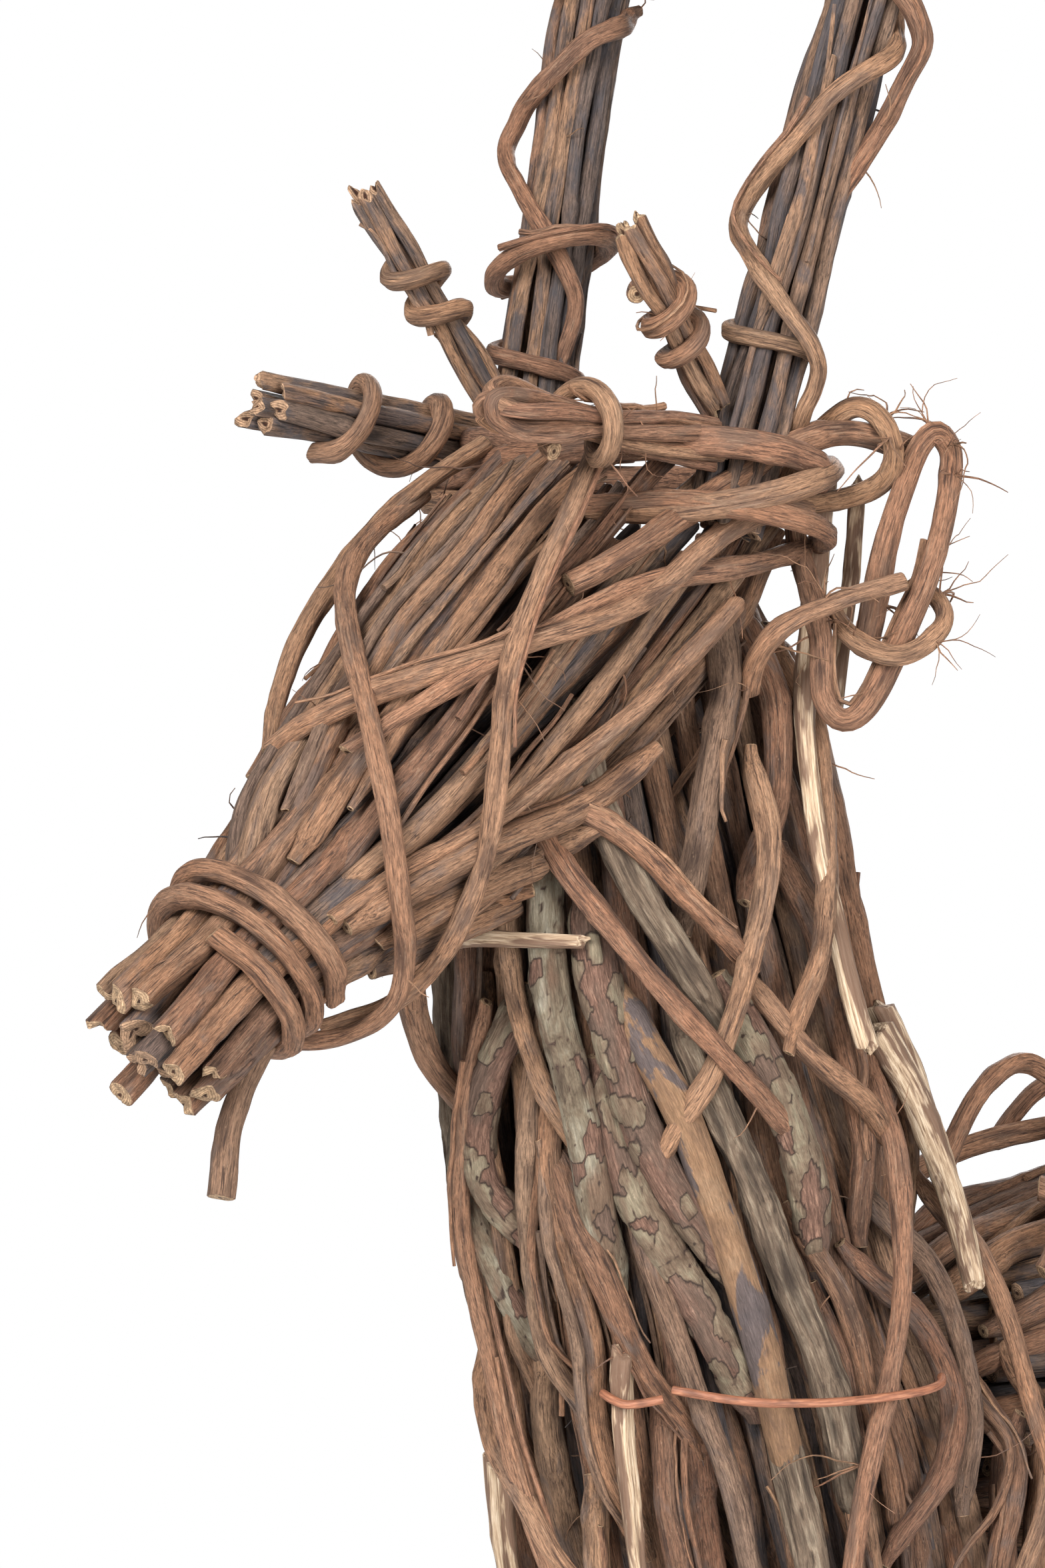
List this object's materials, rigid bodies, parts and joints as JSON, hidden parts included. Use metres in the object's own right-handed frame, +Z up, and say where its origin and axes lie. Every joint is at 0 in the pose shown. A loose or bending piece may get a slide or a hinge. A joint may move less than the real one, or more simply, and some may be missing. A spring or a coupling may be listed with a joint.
{
  "type": "reindeer figure",
  "caption": "Standing reindeer figure of lashed vine, twigs and branches over a steel rod frame, with antlers, tines and looped ears.",
  "frame": {"origin": "on the ground, below the middle of the figure's bounding box", "axes": "+Z up, the animal faces -Y, its left side is +X"},
  "size_m": [0.2085, 0.7737, 1.2018],
  "materials": {
    "twig_bark": "rough",
    "vine_bark": "rough",
    "dark_bark": "rough",
    "lichen_bark": "rough",
    "split_wood": "matt",
    "root_tie": "matt",
    "frame_steel": "dull"
  },
  "bodies": {
    "root": {"frame_spine": "frame_steel", "frame_leg_rods": "frame_steel", "frame_body_hoops": "frame_steel", "frame_neck_hoops": "frame_steel", "leg_sticks_front_left": "twig_bark", "leg_sticks_front_right": "twig_bark", "leg_sticks_hind_left": "twig_bark", "leg_sticks_hind_right": "twig_bark", "leg_lashings_front_left": "vine_bark", "leg_lashings_front_right": "vine_bark", "leg_lashings_hind_left": "vine_bark", "leg_lashings_hind_right": "vine_bark", "shoulder_sticks_left": "twig_bark", "shoulder_sticks_right": "twig_bark", "haunch_sticks_left": "twig_bark", "haunch_sticks_right": "twig_bark", "body_core_sticks": "dark_bark", "neck_core_sticks": "dark_bark", "body_inner_sticks": "dark_bark", "body_outer_sticks": "twig_bark", "body_cross_vines": "vine_bark", "back_vine_curls": "vine_bark", "rump_vines": "vine_bark", "tail_sticks": "twig_bark", "tail_binding": "vine_bark", "neck_inner_sticks": "dark_bark", "neck_middle_sticks": "twig_bark", "neck_outer_sticks": "twig_bark", "neck_bark_branches": "lichen_bark", "neck_split_strips": "split_wood", "neck_cross_sticks": "vine_bark", "neck_vines": "vine_bark", "neck_wire_tie": "root_tie", "muzzle_core_sticks": "dark_bark", "muzzle_rim_sticks": "twig_bark", "cheek_sticks": "twig_bark", "jaw_sticks": "twig_bark", "head_vines": "vine_bark", "muzzle_lashing": "vine_bark", "chin_twig": "twig_bark", "crown_vines": "vine_bark", "ear_loops_left": "vine_bark", "ear_loops_right": "vine_bark", "ear_tails": "split_wood", "antler_beam_left": "dark_bark", "antler_beam_right": "dark_bark", "antler_spiral_left": "vine_bark", "antler_spiral_right": "vine_bark", "brow_tine_left": "vine_bark", "brow_tine_right": "dark_bark", "brow_tine_binding_left": "vine_bark", "brow_tine_binding_right": "vine_bark", "second_tine_left": "twig_bark", "second_tine_right": "dark_bark", "second_tine_binding_left": "vine_bark", "second_tine_binding_right": "vine_bark", "top_tines_left": "dark_bark", "top_tines_right": "dark_bark", "top_tine_bindings_left": "vine_bark", "top_tine_bindings_right": "vine_bark"}
  },
  "joints": []
}
